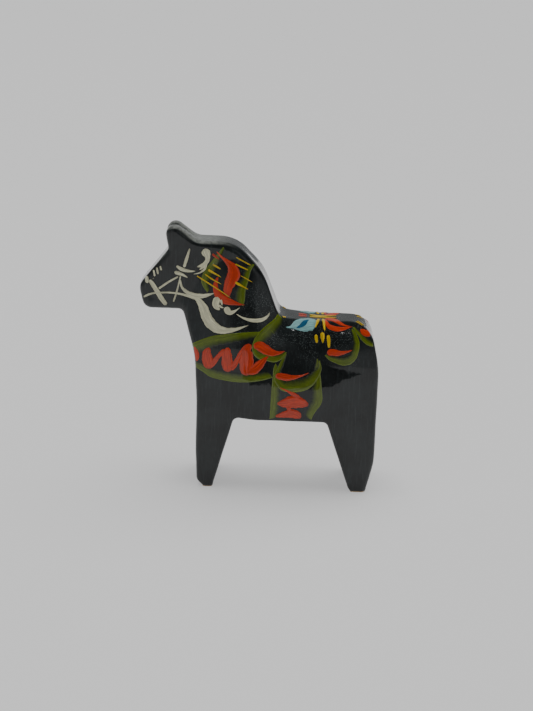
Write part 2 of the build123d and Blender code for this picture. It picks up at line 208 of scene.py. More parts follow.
BREAST_BAND_RED = [
    ("blob", [(-24.0, 55.4, 0.4), (-23.2, 53.2, 1.0), (-22.9, 51.4, 0.9), (-23.0, 49.8, 0.3)]),
    ("blob", [(-18.2, 55.4, 0.6), (-19.1, 53.6, 1.7), (-18.9, 51.0, 2.2), (-18.4, 48.8, 2.1),
              (-18.3, 47.2, 1.2)]),
    ("line", [(-18.0, 48.4, 1.2), (-16.6, 49.9, 1.2), (-15.4, 51.6, 0.9), (-13.9, 53.5, 0.9),
              (-12.2, 55.0, 1.0)]),
    ("blob", [(-11.0, 55.9, 0.8), (-11.6, 54.0, 1.8), (-11.5, 51.4, 2.2), (-11.2, 48.6, 2.2),
              (-11.0, 46.5, 1.2)]),
    ("line", [(-10.6, 47.6, 1.3), (-8.9, 49.2, 1.2), (-7.6, 51.4, 1.0), (-6.6, 53.4, 1.0),
              (-5.0, 55.6, 1.0)]),
    ("blob", [(-2.6, 57.4, 0.7), (-4.2, 55.6, 2.0), (-4.2, 52.6, 2.8), (-4.1, 49.2, 2.8),
              (-3.9, 46.8, 2.2), (-3.6, 45.5, 1.2)]),
    ("line", [(-4.2, 47.0, 1.4), (-1.4, 47.9, 2.0), (0.9, 50.0, 1.7), (2.6, 52.0, 1.0),
              (4.2, 53.4, 0.15)]),
]
SADDLE_LEAVES_GREEN = [
    ("soft", [(7.9, 69.6, 0.8), (7.0, 68.6, 1.4), (5.5, 66.9, 2.0), (3.3, 65.2, 2.4),
              (1.3, 63.5, 2.5), (-0.6, 61.4, 2.3), (-1.9, 59.0, 1.9), (-2.4, 56.4, 1.6),
              (-1.9, 54.0, 1.6), (-0.2, 52.2, 1.8), (3.1, 51.4, 2.1), (7.0, 51.0, 2.1),
              (9.2, 52.3, 1.5), (10.9, 55.0, 0.4)]),
    ("soft", [(10.4, 54.9, 0.4), (8.8, 51.9, 0.8), (7.6, 49.3, 1.0), (6.6, 47.0, 1.2),
              (6.3, 44.8, 1.5), (7.3, 42.3, 2.0), (8.9, 40.4, 2.4), (12.0, 39.5, 2.8),
              (15.4, 39.6, 2.9), (19.1, 40.7, 2.8), (21.7, 42.9, 2.5), (23.8, 46.7, 1.8),
              (24.3, 49.4, 1.1), (23.5, 52.5, 0.4)]),
    ("soft", [(25.1, 54.4, 0.4), (26.5, 52.9, 0.9), (29.2, 51.5, 1.4), (32.4, 50.6, 1.8),
              (35.0, 51.1, 1.9), (37.0, 52.9, 1.7), (38.1, 55.9, 1.5), (38.3, 58.9, 1.3),
              (37.5, 61.2, 1.1), (36.1, 63.2, 0.7), (35.1, 63.9, 0.3)]),
]
SADDLE_LEAVES_RED = [
    ("blob", [(-1.9, 56.8, 1.0), (0.2, 57.0, 1.9), (2.6, 55.8, 2.0), (5.4, 54.6, 1.4),
              (7.8, 54.6, 0.7), (10.2, 55.4, 0.12)]),
    ("blob", [(6.8, 46.0, 0.9), (8.8, 45.8, 1.4), (11.4, 45.4, 1.4), (14.0, 45.6, 0.9),
              (17.0, 46.4, 0.4), (19.6, 47.6, 0.12)]),
    ("blob", [(26.0, 55.2, 0.9), (27.8, 55.5, 1.3), (30.0, 55.3, 1.1), (32.6, 55.6, 0.6),
              (35.6, 56.5, 0.12)]),
]
SADDLE_YELLOW_DASHES = [
    ("line", [(21.6, 61.6, 0.6), (21.8, 60.2, 0.65), (22.1, 58.6, 0.4)]),
    ("line", [(23.9, 62.4, 0.8), (24.1, 61.0, 0.85), (24.3, 58.6, 0.15)]),
    ("line", [(26.2, 61.6, 0.7), (26.5, 59.6, 0.7), (26.7, 57.0, 0.45)]),
]
SADDLE_YELLOW_ON_BACK = [
    ("line", [(22.6, 39.4, 0.5), (22.3, 38.0, 0.6), (21.9, 36.0, 0.5), (21.2, 33.8, 0.25)]),
    ("line", [(24.2, 39.6, 0.5), (24.3, 38.0, 0.6), (24.5, 36.2, 0.55), (24.7, 34.2, 0.45),
              (24.9, 32.4, 0.12)]),
    ("line", [(8.7, 37.2, 0.4), (10.1, 37.8, 0.45)]),
    ("line", [(19.0, 41.3, 0.3), (21.0, 41.5, 0.6), (23.5, 41.6, 0.5), (26.6, 41.4, 0.4),
              (29.6, 41.0, 0.2)]),
    ("line", [(36.5, 38.4, 0.15), (37.8, 37.4, 0.22), (39.2, 36.1, 0.1)]),
    ("line", [(37.2, 39.6, 0.15), (38.5, 38.5, 0.22), (39.9, 37.0, 0.1)]),
]
SADDLE_BLUE_PETAL = [
    ("blob", [(10.1, 33.1, 0.1), (11.9, 33.3, 0.55), (13.3, 33.9, 1.5), (14.8, 34.5, 2.7),
              (16.7, 35.1, 3.5), (18.8, 35.9, 3.8), (20.4, 36.2, 3.3), (21.5, 36.2, 2.1),
              (22.0, 36.2, 0.9)]),
]
SADDLE_BLUE_HEART = [
    ("blob", [(14.0, 33.0, 0.1), (15.5, 34.0, 0.8), (16.7, 35.1, 1.15), (17.6, 36.4, 1.0),
              (18.9, 37.7, 0.15)]),
]
SADDLE_RED_PETALS = [
    ("blob", [(24.9, 39.6, 0.4), (25.1, 38.0, 0.65), (25.4, 36.4, 0.8), (26.4, 34.8, 1.0),
              (28.4, 33.9, 1.2), (30.8, 33.8, 1.0), (33.1, 34.4, 0.55), (35.4, 35.2, 0.1)]),
    ("blob", [(25.0, 39.7, 0.9), (26.6, 39.7, 1.5), (28.5, 38.6, 1.6), (30.0, 36.9, 1.1),
              (31.5, 35.8, 0.65), (33.1, 35.3, 0.33), (34.8, 35.1, 0.1)]),
    ("line", [(14.8, 41.6, 0.4), (16.4, 41.5, 0.6), (18.2, 41.5, 0.3)]),
]
GIRTH_GREEN = [
    ("soft", [(6.8, 50.7, 0.5), (6.2, 49.5, 1.1), (5.8, 45.3, 1.7), (5.5, 39.9, 1.9),
              (5.4, 35.1, 1.9), (5.3, 30.5, 1.8), (5.3, 28.6, 1.7)]),
    ("soft", [(21.4, 28.8, 1.5), (21.9, 30.3, 1.7), (23.5, 33.1, 2.0), (24.7, 34.9, 2.2),
              (25.3, 37.3, 2.3), (24.9, 41.0, 2.1), (24.4, 45.0, 1.7), (23.4, 50.2, 1.0),
              (22.7, 53.2, 0.3)]),
]
GIRTH_RED = [
    ("line", [(8.7, 41.4, 0.12), (11.6, 40.2, 0.4), (14.2, 38.8, 0.9), (16.4, 37.2, 1.3)]),
    ("blob", [(8.0, 35.0, 0.4), (10.6, 35.2, 1.8), (14.6, 36.0, 2.7), (18.0, 35.4, 1.8),
              (20.0, 34.8, 0.5)]),
    ("line", [(12.2, 34.2, 0.9), (12.8, 32.6, 0.8), (13.8, 31.4, 1.0)]),
    ("blob", [(7.6, 29.8, 0.4), (10.6, 30.6, 1.3), (13.8, 31.2, 1.9), (16.2, 30.4, 1.5),
              (17.2, 29.4, 0.6)]),
]
RUMP_LEAF_GREEN = [
    ("soft", [(35.3, 64.2, 0.4), (37.2, 61.9, 0.8), (39.4, 59.4, 1.1), (41.6, 58.0, 1.1),
              (43.5, 57.6, 0.7)]),
]
RUMP_RED = [
    ("blob", [(38.3, 34.3, 0.3), (39.0, 33.8, 1.0), (39.8, 33.2, 1.35), (40.8, 32.8, 1.3),
              (41.6, 32.4, 0.8), (42.2, 32.2, 0.25)]),
    ("line", [(40.4, 34.4, 0.4), (41.4, 33.7, 0.7), (42.2, 32.7, 0.3)]),
]

# Pieces of brushwork: strokes on the flank, strokes on the back, paint, layer over the coat.
FIGURES = {
    "mane_panel_green": (MANE_PANEL_GREEN, [], "green_paint", 0),
    "breast_band_green": (BREAST_BAND_GREEN, [], "green_paint", 0),
    "girth_green": (GIRTH_GREEN, [], "green_paint", 0),
    "saddle_leaves_green": (SADDLE_LEAVES_GREEN, [], "green_paint", 1),
    "rump_leaf_green": (RUMP_LEAF_GREEN, [], "green_paint", 1),
    "breast_band_red": (BREAST_BAND_RED, [], "red_paint", 1),
    "girth_red": (GIRTH_RED, [], "red_paint", 2),
    "saddle_leaves_red": (SADDLE_LEAVES_RED, [], "red_paint", 3),
    "mane_red_leaves": (MANE_RED_LEAVES, [], "red_paint", 2),
    "rump_red": ([], RUMP_RED, "red_paint", 2),
    "saddle_red_petals": ([], SADDLE_RED_PETALS, "red_paint", 1),
    "saddle_blue_petal": ([], SADDLE_BLUE_PETAL, "light_blue_paint", 1),
    "saddle_blue_heart": ([], SADDLE_BLUE_HEART, "dark_blue_paint", 2),
    "saddle_yellow_dashes": (SADDLE_YELLOW_DASHES, SADDLE_YELLOW_ON_BACK, "yellow_paint", 3),
    "mane_yellow_dashes": (MANE_YELLOW_DASHES, [], "yellow_paint", 3),
    "halter": (HALTER, [], "cream_paint", 1),
    "forehead_dashes": (FOREHEAD_DASHES, [], "cream_paint", 1),
    "ear_scroll": (EAR_SCROLL, [], "cream_paint", 1),
    "rein_scroll": (REIN_SCROLL, [], "cream_paint", 2),
    "mane_fringe": (MANE_FRINGE, [], "cream_paint", 3),
}


class DalaCarving(bpy.types.PropertyGroup):
    grain_size: bpy.props.FloatProperty(
        name="Surface grid", description="Spacing of the carved surface's points",
        default=0.0006, min=0.0004, unit="LENGTH", precision=5)
    soften: bpy.props.IntProperty(
        name="Sanding", description="How far edges are softened", default=4, min=0)
    facet_depth: bpy.props.FloatProperty(
        name="Knife marks", description="Height of the low waves the knife left",
        default=0.00005, unit="LENGTH", precision=5)
    wood: bpy.props.FloatVectorProperty(
        name="Pine", description="Bare wood of the soles", subtype="COLOR",
        default=(0.52, 0.33, 0.15), min=0, max=1)
    enamel: bpy.props.FloatVectorProperty(
        name="Ground coat", description="Black enamel over the wood", subtype="COLOR",
        default=(0.0070, 0.0090, 0.0092), min=0, max=1)


class DalaBrushwork(bpy.types.PropertyGroup):
    film: bpy.props.FloatProperty(
        name="Film", description="Thickness of a stroke at its middle",
        default=0.00006, unit="LENGTH", precision=5)
    layer: bpy.props.FloatProperty(
        name="Layer step", description="How far a later colour stands over an earlier one",
        default=0.00004, unit="LENGTH", precision=5)
    step: bpy.props.FloatProperty(
        name="Point spacing", description="Spacing of points along a stroke",
        default=0.0003, unit="LENGTH", precision=5)
    cream_paint: bpy.props.FloatVectorProperty(
        name="Cream", description="Halter, rein and scrolls", subtype="COLOR",
        default=(0.66, 0.64, 0.44), min=0, max=1)
    green_paint: bpy.props.FloatVectorProperty(
        name="Green", description="Bands and leaves", subtype="COLOR",
        default=(0.105, 0.145, 0.007), min=0, max=1)
    red_paint: bpy.props.FloatVectorProperty(
        name="Red", description="Zigzag and leaf hearts", subtype="COLOR",
        default=(0.53, 0.040, 0.009), min=0, max=1)
    light_blue_paint: bpy.props.FloatVectorProperty(
        name="Light blue", description="Saddle petal", subtype="COLOR",
        default=(0.21, 0.42, 0.42), min=0, max=1)
    dark_blue_paint: bpy.props.FloatVectorProperty(
        name="Dark blue", description="Heart of the petal", subtype="COLOR",
        default=(0.010, 0.085, 0.17), min=0, max=1)
    yellow_paint: bpy.props.FloatVectorProperty(
        name="Yellow", description="Stamens and dashes", subtype="COLOR",
        default=(0.64, 0.42, 0.012), min=0, max=1)


class DalaStage(bpy.types.PropertyGroup):
    floor: bpy.props.FloatVectorProperty(
        name="Floor", description="Pale floor", subtype="COLOR",
        default=(0.36, 0.36, 0.36), min=0, max=1)
    daylight: bpy.props.FloatProperty(
        name="Daylight", description="Strength of the broad overhead light", default=3.0, min=0)
    floor_glow: bpy.props.FloatProperty(
        name="Floor glow", description="Light that the floor gives by itself, which lifts shadows",
        default=0.44, min=0)
    room: bpy.props.FloatProperty(
        name="Room", description="Brightness of the room around", default=0.05, min=0)
    wall: bpy.props.FloatProperty(
        name="Wall", description="Brightness of the pale wall behind", default=0.22, min=0)
    windows: bpy.props.FloatProperty(
        name="Windows", description="Brightness of the room to the left and right in front",
        default=0.48, min=0)
    glints: bpy.props.FloatProperty(
        name="Glints", description="Power of the small bright lamps", default=0.3, unit="POWER")
    elevation: bpy.props.FloatProperty(
        name="View elevation", description="Camera above the horizon",
        default=math.radians(16.0), subtype="ANGLE")
    roll: bpy.props.FloatProperty(
        name="View roll", description="Turn of the camera about its axis",
        default=math.radians(2.3), subtype="ANGLE")
    distance: bpy.props.FloatProperty(
        name="View distance", description="Camera to the horse", default=0.700, unit="LENGTH")
    lens: bpy.props.FloatProperty(
        name="Lens", description="Focal length on a 36 mm sensor", default=92.15,
        unit="CAMERA")


# ---------------------------------------------------------------- shader helpers

def start_material(name):
    """A new material: its node tree and its Principled shader."""
    material = bpy.data.materials.new(name)
    material.use_nodes = True
    tree = material.node_tree
    return material, tree, tree.nodes["Principled BSDF"]


def feed(tree, socket, value):
    """Links a socket to another one, or sets its value."""
    if isinstance(value, bpy.types.NodeSocket):
        tree.links.new(value, socket)
    else:
        socket.default_value = value


def put(tree, kind, settings=None, **inputs):
    """Adds a node. settings are its own values; inputs are socket values or links."""
    made = tree.nodes.new(kind)
    for key, value in (settings or {}).items():
        setattr(made, key, value)
    for key, value in inputs.items():
        feed(tree, made.inputs[key.replace("_", " ")], value)
    return made


def stretched(tree, source, scale):
    """Coordinates from a socket, multiplied along each axis."""
    return put(tree, "ShaderNodeMapping", Vector=source, Scale=scale).outputs["Vector"]


def band(tree, value, low, high, to_low=0.0, to_high=1.0):
    """A smooth step of a value, from to_low below low to to_high above high."""
    step = put(tree, "ShaderNodeMapRange", {"interpolation_type": "SMOOTHSTEP"}, Value=value,
               From_Min=low, From_Max=high, To_Min=to_low, To_Max=to_high)
    return step.outputs["Result"]


def arithmetic(tree, operation, a, b):
    """A Math node of two values or links."""
    made = put(tree, "ShaderNodeMath", {"operation": operation})
    feed(tree, made.inputs[0], a)
    feed(tree, made.inputs[1], b)
    return made.outputs["Value"]


def blend(tree, factor, a, b):
    """Colour a where the factor is 0, b where it is 1."""
    made = put(tree, "ShaderNodeMix", {"data_type": "RGBA"})
    for number, value in zip(MIX_INPUTS, (factor, a, b)):
        feed(tree, made.inputs[number], value)
    return made.outputs[MIX_RESULT]


def relief(tree, shader, socket, height, strength, distance):
    """A bump of the given height, on the paint's or the varnish's normal."""
    bump = put(tree, "ShaderNodeBump", Height=height, Strength=strength, Distance=distance)
    tree.links.new(bump.outputs["Normal"], shader.inputs[socket])


def swell(tree, place):
    """The slow waves in the varnish, one pattern over coat and paint alike."""
    slow = put(tree, "ShaderNodeTexNoise", Vector=stretched(tree, place, SWELL_STRETCH),
               Scale=1.0, Detail=3.0)
    return slow.outputs["Fac"]


def varnish(shader, roughness=0.35, coat_roughness=0.035):
    """Paint under a glossy clear varnish."""
    shader.inputs["Roughness"].default_value = roughness
    shader.inputs["Specular IOR Level"].default_value = 0.12
    shader.inputs["Coat Weight"].default_value = 1.0
    shader.inputs["Coat Roughness"].default_value = coat_roughness
    shader.inputs["Coat IOR"].default_value = 1.43


def rgba(colour, gain=1.0):
    """A colour with its alpha, made darker or lighter."""
    return (*[min(channel * gain, 1.0) for channel in colour], 1.0)


def pine_material(colour):
    """Bare pine: growth rings cut by the saw, with fine fibres along the legs."""
    material, tree, shader = start_material("bare_pine")
    place = put(tree, "ShaderNodeTexCoord").outputs["Object"]
    rings = put(tree, "ShaderNodeTexWave", {"wave_type": "RINGS", "rings_direction": "Z"},
                Vector=stretched(tree, place, (60, 60, 6)), Scale=3.0, Distortion=3.0, Detail=3.0)
    fibre = put(tree, "ShaderNodeTexNoise", Vector=stretched(tree, place, (900, 900, 60)),
                Scale=2.0, Detail=6.0)
    tone = blend(tree, rings.outputs["Fac"], rgba(colour, 0.72), rgba(colour, 1.15))
    streak = band(tree, fibre.outputs["Fac"], 0.35, 0.7, 0.0, 0.5)
    tone = blend(tree, streak, tone, rgba(colour, 0.5))
    tree.links.new(tone, shader.inputs["Base Color"])
    relief(tree, shader, "Normal", fibre.outputs["Fac"], 0.3, 0.1 * MM)
    shader.inputs["Roughness"].default_value = 0.75
    return material


def enamel_material(colour):
    """Black enamel: wood fibres telegraph through it, with fine dust specks and a painted sheen,
    a painted highlight on the upward faces of the ears and poll, under varnish that has a slight
    swell of its own."""
    material, tree, shader = start_material("varnished_enamel")
    place = put(tree, "ShaderNodeTexCoord").outputs["Object"]
    split = put(tree, "ShaderNodeSeparateXYZ", Vector=place).outputs

    # The enamel itself: cloudy, with paler fibres.
    cloud = put(tree, "ShaderNodeTexNoise", Vector=stretched(tree, place, (60, 60, 60)),
                Scale=1.5, Detail=5.0, Roughness=0.6)
    fibre = put(tree, "ShaderNodeTexNoise", Vector=stretched(tree, place, FIBRE_STRETCH),
                Scale=1.0, Detail=5.0, Roughness=0.6)
    cloudy = band(tree, cloud.outputs["Fac"], 0.35, 0.7)
    tone = blend(tree, cloudy, rgba(colour, 0.55), rgba(colour, 1.7))
    streak = band(tree, fibre.outputs["Fac"], 0.5, 0.75, 0.0, 0.5)
    tone = blend(tree, streak, tone, rgba(colour, 4.5))

    # Dust specks over the rear of the neck and the saddle, in drifts.
    specks = put(tree, "ShaderNodeTexVoronoi", Vector=place, Scale=1900.0)
    drifts = put(tree, "ShaderNodeTexNoise", Vector=place, Scale=140.0, Detail=2.0)
    dusty = arithmetic(tree, "MULTIPLY", band(tree, split["Z"], *DUSTY_UP),
                       band(tree, split["X"], *DUSTY_BACK))
    dusty = arithmetic(tree, "MULTIPLY", dusty, band(tree, drifts.outputs["Fac"], 0.40, 0.62))
    grain = arithmetic(tree, "MULTIPLY", band(tree, specks.outputs["Distance"], 0.42, 0.12), dusty)
    tone = blend(tree, arithmetic(tree, "MULTIPLY", grain, 0.45), tone, DUST)

    # Painted sheen: the upward faces of the ears and the poll are painted paler. This is a painted
    # highlight of the light from above, broken up by noise.
    height = arithmetic(tree, "MULTIPLY", band(tree, split["Z"], *SHEEN_UP),
                        band(tree, split["X"], *SHEEN_FRONT))
    facing = put(tree, "ShaderNodeSeparateXYZ",
                 Vector=put(tree, "ShaderNodeNewGeometry").outputs["Normal"]).outputs["Z"]
    upper = arithmetic(tree, "MULTIPLY", band(tree, facing, 0.3, 0.7), height)
    sheen_breakup = put(tree, "ShaderNodeTexNoise", Vector=stretched(tree, place, (700, 700, 700)),
                  Scale=1.0, Detail=4.0, Roughness=0.7)
    sheen_share = band(tree, sheen_breakup.outputs["Fac"], 0.25, 0.65, 0.35)
    tone = blend(tree, arithmetic(tree, "MULTIPLY", upper, sheen_share), tone, PAINTED_SHEEN)
    tree.links.new(tone, shader.inputs["Base Color"])

    relief(tree, shader, "Normal", fibre.outputs["Fac"], 0.35, 0.12 * MM)
    skin = arithmetic(tree, "ADD", swell(tree, place), arithmetic(tree, "MULTIPLY", grain, 0.6))
    relief(tree, shader, "Coat Normal", skin, 0.18, 0.2 * MM)
    varnish(shader, roughness=0.4)
    return material


def paint_material(name, colour, ground, soft):
    """Brushed paint: hair streaks along the stroke, a little more paint at the edges, a dry
    streaky tail, and on soft strokes paint that thins out across to the ground colour."""
    material, tree, shader = start_material(name)
    along = put(tree, "ShaderNodeUVMap", {"uv_map": "Stroke"}).outputs["UV"]
    size = put(tree, "ShaderNodeUVMap", {"uv_map": "Size"}).outputs["UV"]
    split = put(tree, "ShaderNodeSeparateXYZ", Vector=along).outputs
    u, v = split["X"], split["Y"]
    hairs = put(tree, "ShaderNodeTexNoise", Vector=stretched(tree, size, (1.2, 28.0, 1)),
                Scale=1.0, Detail=5.0, Roughness=0.65)
    patch = put(tree, "ShaderNodeTexNoise", Vector=stretched(tree, size, (5.0, 7.0, 1)),
                Scale=1.0, Detail=2.0)
    streaked = band(tree, hairs.outputs["Fac"], 0.36, 0.66)
    tone = blend(tree, streaked, rgba(colour, 0.66), rgba(colour, 1.2))
    patchy = band(tree, patch.outputs["Fac"], 0.4, 0.7, 0.0, 0.5)
    tone = blend(tree, patchy, tone, rgba(colour, 0.72))
    if soft:
        reach = arithmetic(tree, "ADD", v, arithmetic(tree, "MULTIPLY", hairs.outputs["Fac"], 0.35))
        thin = band(tree, reach, 0.55, 1.2)
        edge = band(tree, v, 0.16, 0.02)
        tone = blend(tree, arithmetic(tree, "MULTIPLY", edge, 0.6), tone, rgba(colour, 1.5))
        tone = blend(tree, thin, tone, rgba(ground))
    else:
        lift = arithmetic(tree, "ADD", u, arithmetic(tree, "MULTIPLY", hairs.outputs["Fac"], 0.5))
        dry = band(tree, lift, 1.12, 1.38, 0.0, 0.85)
        tone = blend(tree, dry, tone, rgba(ground, 1.5))
    tree.links.new(tone, shader.inputs["Base Color"])
    relief(tree, shader, "Normal", hairs.outputs["Fac"], 0.5, 0.1 * MM)
    place = put(tree, "ShaderNodeTexCoord").outputs["Object"]
    relief(tree, shader, "Coat Normal", swell(tree, place), 0.18, 0.2 * MM)
    varnish(shader, roughness=0.45, coat_roughness=0.05)
    return material


# ---------------------------------------------------------------- mesh helpers

def read(items, field):
    """A three-part field of mesh items, such as the places of vertices, as an array."""
    values = np.empty(len(items) * 3, np.float32)
    items.foreach_get(field, values)
    return values.reshape(-1, 3).astype(float)


def write(mesh, points):
    """Moves a mesh's vertices to the given places."""
    mesh.vertices.foreach_set("co", points.astype(np.float32).ravel())


def settled(obj, name):
    """A new mesh with the object's modifiers applied."""
    view = bpy.context.evaluated_depsgraph_get()
    mesh = bpy.data.meshes.new_from_object(obj.evaluated_get(view))
    mesh.name = name
    return mesh


def link(name, data):
    """A new object in the scene."""
    obj = bpy.data.objects.new(name, data)
    bpy.context.scene.collection.objects.link(obj)
    return obj


def discard(obj):
    """Removes a working object and its mesh."""
    mesh = obj.data
    bpy.data.objects.remove(obj)
    bpy.data.meshes.remove(mesh)


def finish_piece(mesh, material, node):
    """Links a mesh in its only material, in the place of a CAD node."""
    mesh.shade_smooth()
    mesh.materials.clear()
    mesh.materials.append(material)
    piece = link(mesh.name, mesh)
    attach(piece, "root")
    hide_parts(node)


def smooth_horse(voxel, rounds):
    """The carved block as one even closed skin: the wood's mesh merged, remade on a voxel
    grid and relaxed."""
    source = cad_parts["wood_body"]
    work = link("carving", source.data.copy())
    weld = work.modifiers.new("weld", "WELD")
    weld.merge_threshold = 1e-6
    grid = work.modifiers.new("grid", "REMESH")
    grid.mode = "VOXEL"
    grid.voxel_size = voxel
    sand = work.modifiers.new("sand", "SMOOTH")
    sand.factor = 0.5
    sand.iterations = rounds
    mesh = settled(work, "horse_skin")
    discard(work)
    return mesh


def knife_marks(points, depth):
    """Low waves left by the knife: 0.6 of the product of two slanting sine waves, the first of
    them bent by a slower one, plus 0.4 of a third, all times the depth."""
    x, y, z = (points / MM).T
    long_cut = np.sin(0.31 * z + 0.13 * x + 0.9 * np.sin(0.09 * x + 0.4 * y))
    cross_cut = np.sin(0.23 * x - 0.17 * z + 0.21 * y + 1.3)
    scoop = np.sin(0.47 * x + 0.29 * z + 0.5 * y)
    return depth * (0.6 * long_cut * cross_cut + 0.4 * scoop)


# ---------------------------------------------------------------- brushwork

def drawn(points, step):
    """A smooth curve through a stroke's points: cubic pieces whose slope at each point is that
    of the points around it, read at even steps. Columns: place, place, half width, distance."""
    table = np.array(points, float) * MM
    chord = np.linalg.norm(np.diff(table[:, :2], axis=0), axis=1)
    stops = np.concatenate([[0.0], np.cumsum(chord)])
    slope = np.gradient(table, stops, axis=0)
    count = max(int(stops[-1] / step), FEWEST_ROWS)
    at = np.linspace(0.0, stops[-1], count)
    piece = np.clip(np.searchsorted(stops, at, side="right") - 1, 0, len(stops) - 2)
    span = stops[piece + 1] - stops[piece]
    t = ((at - stops[piece]) / span)[:, None]
    span = span[:, None]
    curve = ((2 * t**3 - 3 * t**2 + 1) * table[piece]
             + (t**3 - 2 * t**2 + t) * span * slope[piece]
             + (3 * t**2 - 2 * t**3) * table[piece + 1]
             + (t**3 - t**2) * span * slope[piece + 1])
    return np.column_stack([curve, at])


def wavering(at, table, seed):
    """One, plus at each place a sum of sine waves: height times the sine of pitch times the
    place plus the turn times the seed."""
    return sum((height * np.sin(at * pitch + turn * seed) for height, pitch, turn in table), 1)


def stroke_sheet(kind, points, film, base, step, seed):
    """One stroke as a closed film on a flat sheet. Across the stroke the film rises from below
    the coat to its full height as 1 - a^8, with low ridges from the brush hairs; along it, the
    width follows the points, wavers a little and closes in a round at both ends. Gives the
    points on the sheet, their heights, and the UVs that run 0 to 1 and those in real size."""
    curve = drawn(points, step)
    middle, half, far = curve[:, :2], np.maximum(curve[:, 2], NARROWEST), curve[:, 3]
    along = np.gradient(middle, axis=0)
    along /= np.linalg.norm(along, axis=1)[:, None]
    across = np.column_stack([-along[:, 1], along[:, 0]])
    head = np.clip(far / max(half[0], END_ROUND), 0, 1)
    tail = np.clip((far[-1] - far) / max(half[-1], END_ROUND), 0, 1)
    rounded = (1 - (1 - head) ** 2) * (1 - (1 - tail) ** 2)
    closing = np.sqrt(np.clip(rounded, END_CLOSED**2, 1))
    half = half * closing * wavering(far / MM, EDGE_WAVES, seed)

    top = np.linspace(-1, 1, ACROSS)
    a = np.concatenate([top, UNDER_AT])
    lean = 1.0 if kind == "soft" else 0.0
    place = middle[:, None, :] + (across * half[:, None])[:, None, :] * (a + lean)[None, :, None]
    ridges = wavering(top, HAIR_RIDGES, seed)
    body = 0.5 - 0.5 * top if kind == "soft" else np.ones_like(top)
    height = (base + LOWEST + film * ridges * body) * closing[:, None] * (1 - top**8)
    height -= SUNK * top**8
    depth = np.full((len(far), len(UNDER_AT)), -UNDERSIDE)
    rise = np.hstack([height, depth])
    stroke_uv = np.stack(np.broadcast_arrays((far / far[-1])[:, None], ((a + 1) / 2)[None, :]), -1)
    size_u = far[:, None] / STREAK_UNIT + 3.7 * seed
    size_v = half[:, None] * a[None, :] / STREAK_UNIT + 1.3 * seed
    size_uv = np.stack(np.broadcast_arrays(size_u, size_v), -1)
    return place, rise, stroke_uv, size_uv


def laid_on(sheets, horse, tilt, away):
    """Lowers flat strokes onto the horse, looking along +Y turned down by tilt, and returns
    their points, each raised by the film's height along the stroke's normal: the cross product
    of the way along the stroke and the way across it."""
    flat = np.concatenate([sheet[0].reshape(-1, 2) for sheet in sheets])
    start = np.column_stack([flat[:, 0], np.full(len(flat), -away), flat[:, 1]])
    mesh = bpy.data.meshes.new("flat_strokes")
    mesh.from_pydata(start.tolist(), [], [])
    work = link("flat_strokes", mesh)
    turn = Matrix.Rotation(-tilt, 4, "X")
    work.matrix_world = turn
    bpy.context.view_layer.update()
    drop = work.modifiers.new("drop", "SHRINKWRAP")
    drop.target = horse
    drop.wrap_method = "PROJECT"
    drop.use_project_y = True
    drop.use_negative_direction = False
    drop.use_positive_direction = True
    cling = work.modifiers.new("cling", "SHRINKWRAP")
    cling.target = horse
    cling.wrap_method = "NEAREST_SURFACEPOINT"
    fallen = settled(work, "fallen")
    local = read(fallen.vertices, "co")
    bpy.data.meshes.remove(fallen)
    discard(work)
    rotation = np.array(turn.to_3x3())
    placed = local @ rotation.T

    out, begin = [], 0
    towards = rotation @ np.array([0.0, -1.0, 0.0])
    for _, rise, _, _ in sheets:
        rows, columns = rise.shape
        grid = placed[begin:begin + rows * columns].reshape(rows, columns, 3)
        begin += rows * columns
        spine, side = grid[:, 2 * QUARTER], grid[:, 3 * QUARTER] - grid[:, QUARTER]
        normal = np.cross(np.gradient(spine, axis=0), side)
        normal /= np.maximum(np.linalg.norm(normal, axis=1), 1e-12)[:, None]
        normal *= np.where(normal @ towards < 0, -1.0, 1.0)[:, None]
        out.append(grid + normal[:, None, :] * rise[:, :, None])
    return out


def film_mesh(name, grids, sheets, mirrored):
    """Closed films from their grids: each row is a ring of points round the film, and a
    polygon closes each end. Mirrored films change y's sign and turn their faces over."""
    points, faces, stroke_uv, size_uv = [], [], [], []
    begin = 0
    for grid, (_, _, along, size) in zip(grids, sheets):
        rows, columns, _ = grid.shape
        index = begin + np.arange(rows * columns).reshape(rows, columns)
        nxt = np.roll(index, -1, axis=1)
        quads = np.stack([index[:-1], index[1:], nxt[1:], nxt[:-1]], -1).reshape(-1, 4)
        faces += quads.tolist()
        faces += [index[0].tolist(), index[-1][::-1].tolist()]
        points.append(grid.reshape(-1, 3))
        stroke_uv.append(along.reshape(-1, 2))
        size_uv.append(size.reshape(-1, 2))
        begin += rows * columns
    points = np.concatenate(points)
    if mirrored:
        points = points * np.array([1.0, -1.0, 1.0])
    mesh = bpy.data.meshes.new(name)
    mesh.from_pydata(points.tolist(), [], faces)
    if mirrored:
        mesh.flip_normals()
    corner = np.empty(len(mesh.loops), np.int32)
    mesh.loops.foreach_get("vertex_index", corner)
    for layer, parts in (("Stroke", stroke_uv), ("Size", size_uv)):
        values = np.concatenate(parts)[corner].astype(np.float32)
        mesh.uv_layers.new(name=layer).data.foreach_set("uv", values.ravel())
    return mesh


def outward(mesh):
    """Turns a closed mesh's faces over where its volume, the sum of a . (b x c) over its
    triangles, comes out negative."""
    mesh.calc_loop_triangles()
    corner = np.empty(len(mesh.loop_triangles) * 3, np.int32)
    mesh.loop_triangles.foreach_get("vertices", corner)
    a, b, c = read(mesh.vertices, "co")[corner].reshape(-1, 3, 3).transpose(1, 0, 2)
    if np.einsum("ij,ij->i", a, np.cross(b, c)).sum() < 0:
        mesh.flip_normals()


